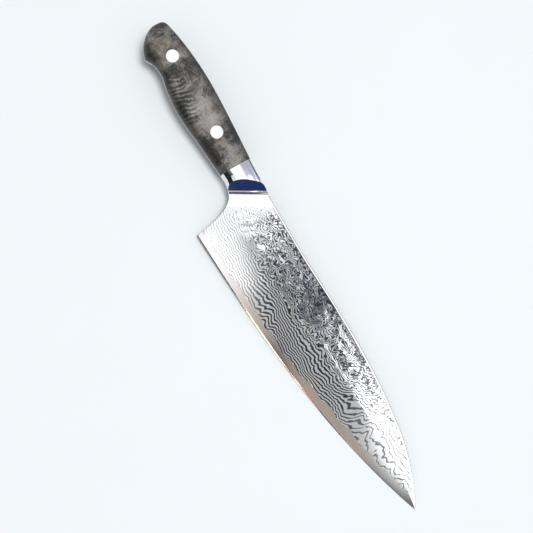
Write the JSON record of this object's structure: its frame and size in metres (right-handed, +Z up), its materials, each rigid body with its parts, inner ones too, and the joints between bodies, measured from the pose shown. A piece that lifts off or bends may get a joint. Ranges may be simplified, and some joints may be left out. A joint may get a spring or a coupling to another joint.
{
  "type": "chef knife",
  "caption": "Western-handled chef knife with a layered hammered blade, full tang, coved polished bolsters, riveted burl scales and a beaked butt.",
  "frame": {"origin": "centre of the bounding box's base, on the table the knife lies on", "axes": "+X along the knife from butt to tip, +Y from the cutting edge to the spine, +Z up out of the table: the knife lies on its left side, resting on the swell of the handle and on the tip, so its own plane leans 6.3 degrees edge down and 1.8 degrees nose down"},
  "size_m": [0.3322, 0.053, 0.021],
  "materials": {
    "core_steel": "satin ground, polished honed edge",
    "damascus_steel": "etched wavy layers, hammered above the grind line",
    "bolster_steel": "mirror polished stainless steel",
    "burl_wood": "dark stabilised burl, satin gloss",
    "rivet_steel": "polished flush with the wood"
  },
  "bodies": {
    "root": {"core_tang": "core_steel", "cladding_right": "damascus_steel", "cladding_left": "damascus_steel", "bolster_right": "bolster_steel", "bolster_left": "bolster_steel", "scale_right": "burl_wood", "scale_left": "burl_wood", "rivet_front_female": "rivet_steel", "rivet_front_male": "rivet_steel", "rivet_rear_female": "rivet_steel", "rivet_rear_male": "rivet_steel"}
  },
  "joints": []
}
